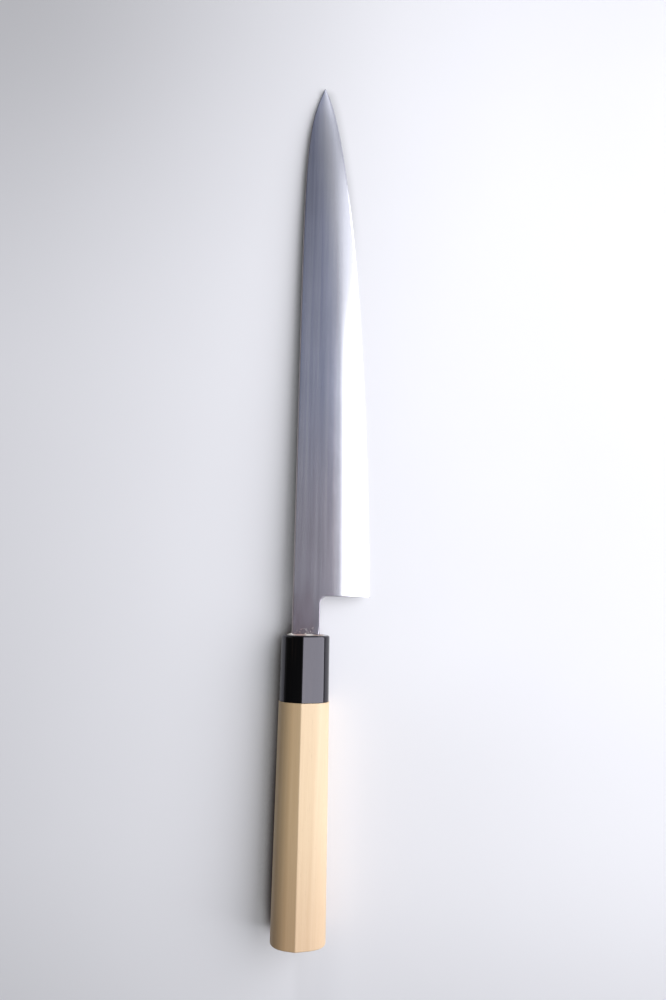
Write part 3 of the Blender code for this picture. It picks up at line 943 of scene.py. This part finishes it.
def bare_magnolia():
    finish = new_finish("bare_magnolia")
    place = finish.place()
    x, y, z = finish.axes(place)
    drift = finish.stretched(place, (30.0, 4.0, 30.0), 2.0)
    from_pith = ((x - PITH[0]) ** 2.0 + (z - PITH[1]) ** 2.0) ** 0.5 + RING_DRIFT * drift
    sockets = {"W": RINGS_A_METRE * from_pith, "Scale": 1.0}
    rings = finish.node("TexNoise", {"noise_dimensions": "1D"}, sockets)
    fibre = finish.stretched(place, (2400.0, 34.0, 2400.0), 3.0, 0.6)
    pores = finish.stretched(place, (5200.0, 210.0, 5200.0), 1.0).rise(0.66, 0.80)
    tone = finish.stretched(place, (90.0, 9.0, 90.0), 2.0)
    grain = 0.45 * rings + 0.35 * fibre + 0.20 * tone
    colour = finish.mix(grain.rise(0.30, 0.70), *MAGNOLIA)
    # Painted shade: darker towards the butt.
    colour = finish.mix(1.0 - y.rise(*BUTT_SHADE_ENDS), colour, BUTT_SHADE, "MULTIPLY")
    # Painted shade: darker on the facet on the spine's side.
    colour = finish.mix(1.0 - x.rise(*SPINE_FACET_SHADE_ENDS), colour, SPINE_FACET_SHADE, "MULTIPLY")
    # Painted shade: a little darker on the edge's side, holding back the window's light there.
    colour = finish.shaded(colour, 1.0 - 0.10 * x.rise(0.003, 0.010))
    return finish.surface({
        "Base Color": finish.mix(0.35 * pores, colour, PORES),
        "Roughness": 0.42 + 0.10 * fibre + 0.10 * pores,
        "IOR": 1.52,
        "Normal": finish.bump(fibre - 1.2 * pores, FIBRE_DEPTH),
    })


mount_piece(grip, "handle_body", bare_magnolia())

# %% [markdown]
# ## The seal around the neck
# Where the neck enters the horn, the slot is closed with a filler that was pressed in by hand. It
# is a crumbly, uneven bead: thick and whitish at the spine, pinkish in the middle and thin at the
# edge's side. The bead is a closed band around the neck with a thin smear on the horn. Its front
# is domed, and noise from mathutils, which gives the same value on every run, makes it lumpy. A
# few crumbs stick to the steel in front of it, each the hull of some points around its middle.

# %% Press the seal into the mouth
SEAL_PLACES = (-0.0095, -0.0070, -0.0048, -0.0028, 0.0004, 0.0030, 0.0050, 0.0090)
SEAL_RISES = (0.0004, 0.0005, 0.0004, 0.0004, 0.0005, 0.0004, 0.0001, 0.0001)
SEAL_LEAST = 0.00012
SEAL_SMEAR = 0.0004
SMEAR_HEIGHT = 0.00005
SMEAR_FOOT = 0.00001
SEAL_BACK = 0.0060
STEEL_GAP = 0.00001
WALL_GAP = 0.00003
COARSE_LUMPS = 900.0
SMALL_LUMPS = 3300.0
SMEAR_LUMPS = 1400.0
DOME_START = 0.25
DOME_POWER = 0.7
BEAD_STEPS = 14
BEAD_AROUND = 220
CRUMBS = 40
CRUMB_POINTS = 10
CRUMB_PLACES = (-0.0058, 0.0036)
CRUMB_REACH = (0.0007, 0.0036)
CRUMB_SIZES = (0.00012, 0.00028)
CRUMB_LIFT = 0.3
CRUMB_BUMPS = (0.7, 1.0)
CRUMB_SEED = 5


def resampled(ring, count):
    """The ring's outline as evenly spaced points, as an array."""
    points = np.array(ring + ring[:1])
    lengths = np.concatenate([[0.0], np.cumsum(np.linalg.norm(np.diff(points, axis=0), axis=1))])
    places = np.linspace(0.0, lengths[-1], count, endpoint=False)
    return np.stack([np.interp(places, lengths, points[:, axis]) for axis in range(3)], axis=1)


def bead_height(x, z):
    """How far the filler stands out of the mouth."""
    coarse = noise.noise(Vector((COARSE_LUMPS * x, 4.0, COARSE_LUMPS * z)))
    small = noise.noise(Vector((SMALL_LUMPS * x, 9.0, SMALL_LUMPS * z)))
    rise = float(np.interp(x, SEAL_PLACES, SEAL_RISES))
    return max(SEAL_LEAST, rise * (0.9 + 0.7 * coarse + 0.8 * small))


def add_crumbs(data):
    """Small crumbs on the neck's right side, in front of the mouth."""
    dice = random.Random(CRUMB_SEED)
    for _ in range(CRUMBS):
        x = dice.uniform(*CRUMB_PLACES)
        y = CRUMB_REACH[0] + (CRUMB_REACH[1] - CRUMB_REACH[0]) * dice.random() ** 2
        size = dice.uniform(*CRUMB_SIZES)
        middle = Vector((x, y, half_thickness(y) + CRUMB_LIFT * size))
        points = []
        for _ in range(CRUMB_POINTS):
            away = Vector([dice.gauss(0.0, 1.0) for _ in range(3)]).normalized()
            points.append(data.verts.new(middle + size * dice.uniform(*CRUMB_BUMPS) * away))
        hull = bmesh.ops.convex_hull(data, input=points)
        bmesh.ops.delete(data, geom=hull["geom_interior"], context="VERTS")


def press_seal():
    slot = SEAL_WALL + 2 * FIT_GAP
    inner = resampled(around_tang(0.0, STEEL_GAP), BEAD_AROUND)
    wall = resampled(around_tang(0.0, slot - WALL_GAP), BEAD_AROUND)
    smear = resampled(around_tang(0.0, slot + SEAL_SMEAR), BEAD_AROUND)
    for number, (x, _, z) in enumerate(smear):
        share = 0.5 + 0.5 * noise.noise(Vector((SMEAR_LUMPS * x, 2.0, SMEAR_LUMPS * z)))
        smear[number] = wall[number] + share * (smear[number] - wall[number])
    rows = []
    for step in range(BEAD_STEPS + 1):
        share = step / BEAD_STEPS
        turn = math.pi * (DOME_START + (1.0 - DOME_START) * share)
        dome = math.sin(turn) ** DOME_POWER if share < 1.0 else 0.0
        ring = inner + share * (smear - inner)
        rows.append([(x, max(SMEAR_HEIGHT, dome * bead_height(x, z)), z) for x, _, z in ring])
    rows.append([(x, SMEAR_FOOT, z) for x, _, z in smear])
    rows.append([(x, SMEAR_FOOT, z) for x, _, z in wall])
    rows.append([(x, -SEAL_BACK, z) for x, _, z in wall])
    rows.append([(x, -SEAL_BACK, z) for x, _, z in inner])
    data = bmesh.new()
    loops = [[data.verts.new(point) for point in row] for row in rows]
    for row, following in zip(loops, loops[1:] + loops[:1]):
        skin(data, row, following)
    add_crumbs(data)
    return new_piece("mouth_filler", data)


seal = press_seal()
print("the bead has", len(seal.data.polygons), "faces")

# %% [markdown]
# The filler dries matt and uneven in colour. A ramp along the mouth makes it whitish at the
# spine, pinkish, whitish again just past the middle, and tan at the edge's side. Broad noise
# moves the ramp's borders to and fro, and finer noise adds darker specks.

# %% Colour the filler
PALE = (0.86, 0.83, 0.77)
PINK = (0.52, 0.38, 0.34)
TAN = (0.62, 0.50, 0.42)
SPECK = (0.34, 0.24, 0.19)
ALONG_MOUTH = ((0.16, PALE), (0.24, PINK), (0.44, PINK), (0.50, PALE), (0.60, PALE), (0.68, TAN))
MOUTH_WIDTH = 0.020
SPECK_DEPTH = 0.00006


def crumbly_filler():
    finish = new_finish("crumbly_filler")
    place = finish.place()
    x, _, _ = finish.axes(place)
    patch = finish.stretched(place, (500.0, 500.0, 500.0), 2.0)
    crumb = finish.stretched(place, (2600.0, 2600.0, 2600.0), 3.0, 0.65)
    share = 0.5 + 1.0 / MOUTH_WIDTH * x + 0.25 * (patch - 0.5)
    colour = finish.node("ValToRGB", {"stops": ALONG_MOUTH}, {"Fac": share})
    return finish.surface({
        "Base Color": finish.mix(0.4 * crumb.rise(0.55, 0.75), colour, SPECK),
        "Roughness": 0.65 + 0.2 * crumb,
        "Normal": finish.bump(crumb, SPECK_DEPTH),
    })


mount_piece(seal, "mouth_seal", crumbly_filler())

# %% [markdown]
# ## The hidden bedding
# The resin around the tang is never seen on the finished knife. Its packed shape is already
# right, so that node stays, and only gets a finish: brown resin, matt, with wood dust in it.

# %% Finish the bedding
RESIN = ((0.22, 0.13, 0.07), (0.40, 0.27, 0.15))
DUST_DEPTH = 0.00005


def dusty_resin():
    finish = new_finish("dusty_resin")
    place = finish.place()
    dust = finish.stretched(place, (1500.0, 1500.0, 1500.0), 3.0)
    return finish.surface({
        "Base Color": finish.mix(dust.rise(0.35, 0.65), *RESIN),
        "Roughness": 0.5 + 0.2 * dust,
        "Normal": finish.bump(dust, DUST_DEPTH),
    })


bedding = frame["nodes"]["tang_bedding"]
bedding.data.materials.clear()
bedding.data.materials.append(dusty_resin())
print("the bedding keeps its packed shape")

# %% [markdown]
# ## The table
# The table is one large pale sheet with a very faint cloudiness. Its pale surface lets light in
# and out again, which makes the shadows on it pale. Real scattering is slow to render, so the
# table has a faint glow instead, painted light which only shows to the camera and in reflections
# and lights nothing. The glow would lighten the dark line right beside the knife too. So it is
# taken back there, and a shadow is painted into the table's colour: on the spine's side wherever
# the sky is hidden, most of all beside the grip, and faintly along the edge near the tip. A few
# smooth rises paint the falloff of the light into the colour, so that the table is greyer to the
# left and at both ends.

# %% Lay the table
TABLE_SIZE = 6.0
TABLE_GLOW = 0.165
TABLE_COLOURS = ((0.715, 0.715, 0.735), (0.735, 0.735, 0.755))
CONTACT_REACH = 0.020
# Colours of the painted shadow right beside the knife, browner beside the handle.
CONTACT_SHADOW_TINTS = ((0.13, 0.085, 0.065), (0.13, 0.11, 0.125))
# The colour of the deepest painted shadow, beside the grip.
GRIP_SHADOW_TINT = (0.17, 0.05, 0.02)
EDGE_SHADE = 0.28
NEAR_TIP = 0.020
FAR_FROM_TIP = 0.090


def painted_light_level(x, y):
    """How light the table is painted as the window's light falls off: greyer to the left, at both
    ends and in the far left corner, lighter right of the blade and darker right of the grip.
    """
    left = 1.0 - x.rise(-0.20, 0.02)
    middle = x.rise(-0.01, 0.05) * (1.0 - x.rise(0.06, 0.18))
    right = x.rise(0.08, 0.20)
    ends = ((y - 0.11) ** 2.0).rise(0.0, 0.16) + 0.35 * (1.0 - y.rise(-0.20, -0.10))
    corner = y.rise(0.12, 0.34) * (1.0 - x.rise(-0.15, 0.12))
    by_grip = x.rise(-0.002, 0.004) * (1.0 - x.rise(0.012, 0.028)) * (1.0 - y.rise(-0.05, -0.02))
    level = 1.0 - 0.22 * left - 0.03 * right - 0.2 * ends - 0.24 * corner
    return level + middle * (0.085 * y.rise(-0.07, 0.01) - 0.035) - 0.06 * by_grip


def along_edge(x, y):
    """The shade along the edge near the tip, where the edge is nearly a power of the way back."""
    near, far = (across(edge_line, TIP_Y - back) - TIP_DEPTH for back in (NEAR_TIP, FAR_FROM_TIP))
    power = math.log(far / near) / math.log(FAR_FROM_TIP / NEAR_TIP)
    edge_x = TIP_DEPTH + near / NEAR_TIP**power * (TIP_Y - y).at_least(0.0) ** power
    shade = (1.0 - (x - edge_x).rise(-0.002, 0.005)) * x.rise(-0.002, 0.002)
    return shade * y.rise(0.185, 0.235) * (1.0 - y.rise(TIP_Y - 0.003, TIP_Y + 0.0015))


def along_grip(x, y):
    """The deep painted shadow beside the handle on the spine's side, weaker towards the ferrule.
    """
    half_width = 0.5 * (FRONT_WIDTH - (BUTT_WIDTH - FRONT_WIDTH) / HANDLE_LENGTH * y)
    gap = (0.0 - x) - half_width
    shade = (1.0 - gap.rise(-0.0030, 0.0040)) * (1.0 - 0.42 * y.rise(-0.085, -0.045))
    return shade * y.rise(-0.146, -0.136) * (1.0 - y.rise(-0.004, 0.002))


def pale_table():
    finish = new_finish("pale_table")
    place = finish.place()
    x, y, _ = finish.axes(place)
    cloud = finish.stretched(place, (5.0, 5.0, 5.0), 3.0)
    # Painted shadow: where the sky is hidden on the spine's side, the colour is deepened and the
    # glow taken back.
    open_sky = finish.node("AmbientOcclusion", {"samples": 8}, {"Distance": CONTACT_REACH}, "AO")
    spine_side = 1.0 - x.rise(-0.006, 0.0)
    contact_shadow = (1.0 - open_sky.rise(0.50, 0.73)) * spine_side
    grip_shadow = along_grip(x, y) * spine_side
    bright = 1.0 - EDGE_SHADE * along_edge(x, y)
    colour = finish.mix(cloud.rise(0.3, 0.7), *TABLE_COLOURS)
    # Painted falloff of the light, and the painted shade along the edge near the tip.
    colour = finish.shaded(colour, painted_light_level(x, y) * bright)
    contact_shadow_tint = finish.mix(y.rise(-0.005, 0.01), *CONTACT_SHADOW_TINTS)
    colour = finish.mix(contact_shadow, colour, contact_shadow_tint, "MULTIPLY")
    colour = finish.mix(grip_shadow, colour, GRIP_SHADOW_TINT, "MULTIPLY")
    rays = ("Is Camera Ray", "Is Glossy Ray", "Is Transmission Ray")
    camera_ray, glossy_ray, clear_ray = [finish.node("LightPath", output=name) for name in rays]
    seen = (camera_ray + glossy_ray + clear_ray) * (1.0 - 0.95 * contact_shadow)
    seen = seen * bright * (1.0 - grip_shadow)
    return finish.surface({
        "Base Color": colour,
        "Roughness": 0.55,
        "IOR": 1.4,
        "Emission Color": finish.mix(seen, (0.0, 0.0, 0.0), (1.0, 1.0, 1.03)),
        "Emission Strength": TABLE_GLOW,
    })


sheet = bmesh.new()
bmesh.ops.create_grid(sheet, x_segments=8, y_segments=8, size=0.5 * TABLE_SIZE)
table = new_piece("table", sheet)
table.data.materials.append(pale_table())
print("the table is", TABLE_SIZE, "m wide")

# %% [markdown]
# ## Light from one side
# The picture is lit by daylight from the right. The near window is large and bright: it shows as
# the grey patch in the horn, it burns out the bevel, and it leaves the left side in soft shadow.
# The far window is higher up and much weaker, and gives the edge near the tip its glow. Both are
# area lamps that stand upright. The room around them is dim, and the world's colour is a short
# formula of the direction: a ceiling that is darker to the left, a pale far wall that the tip
# mirrors, a faint left wall, and a band near the horizon that is brighter to the right.

# %% Hang the windows and paint the room
DAYLIGHT = (0.985, 0.985, 1.03)
WINDOW_DISTANCE = 0.70
WINDOW_TOP = 1.575
NEAR_WINDOW = {"start": -0.41, "end": 0.71, "sill": 0.14, "brightness": 4.2}
FAR_WINDOW = {"start": 0.71, "end": 1.22, "sill": 0.80, "brightness": 1.0}


def hang_window(name, start, end, sill, brightness):
    """An upright area lamp that faces the knife; its light is given by how bright it looks."""
    lamp = bpy.data.lights.new(name, "AREA")
    lamp.shape = "RECTANGLE"
    lamp.size = end - start
    lamp.size_y = WINDOW_TOP - sill
    lamp.energy = brightness * math.pi * lamp.size * lamp.size_y
    lamp.color = DAYLIGHT
    window = bpy.data.objects.new(name, lamp)
    bpy.context.scene.collection.objects.link(window)
    place = (WINDOW_DISTANCE, 0.5 * (start + end), 0.5 * (sill + WINDOW_TOP))
    facing = Matrix(((0.0, 0.0, 1.0), (1.0, 0.0, 0.0), (0.0, 1.0, 0.0))).to_4x4()
    window.matrix_world = Matrix.Translation(place) @ facing
    print(name, "gives", round(lamp.energy, 1), "watts")


def paint_room():
    room = Finish(bpy.data.worlds.new("room"))
    x, y, z = room.axes(room.node("TexCoord", output="Generated"))
    ceiling = (0.04 + 0.27 * x.rise(-0.54, -0.26)) * (1.0 - 0.56 * y.rise(0.42, 0.53))
    far_wall = 0.62 * x.rise(0.22, 0.40) * y.rise(0.38, 0.50)
    far_wall = far_wall + 0.50 * x.rise(0.05, 0.25) * y.rise(0.575, 0.62)
    left_wall = 0.30 * (0.0 - x).rise(0.66, 0.80) * y.rise(-0.04, 0.08)
    high = ceiling + far_wall + left_wall
    low = 0.14 + 0.28 * x.rise(-0.35, 0.25)
    level = high + (low - high) * (1.0 - z.rise(0.08, 0.32))
    blue = 0.95 + 0.17 * x.rise(-0.3, 0.2)
    tint = room.node("CombineColor", {}, {0: 0.98 * level, 1: level, 2: blue * level})
    room.node("OutputWorld", {}, {"Surface": room.node("Background", {}, {"Color": tint})})
    return room.owner


hang_window("near_window", **NEAR_WINDOW)
hang_window("far_window", **FAR_WINDOW)
bpy.context.scene.world = paint_room()
print("the room is painted")

# %% [markdown]
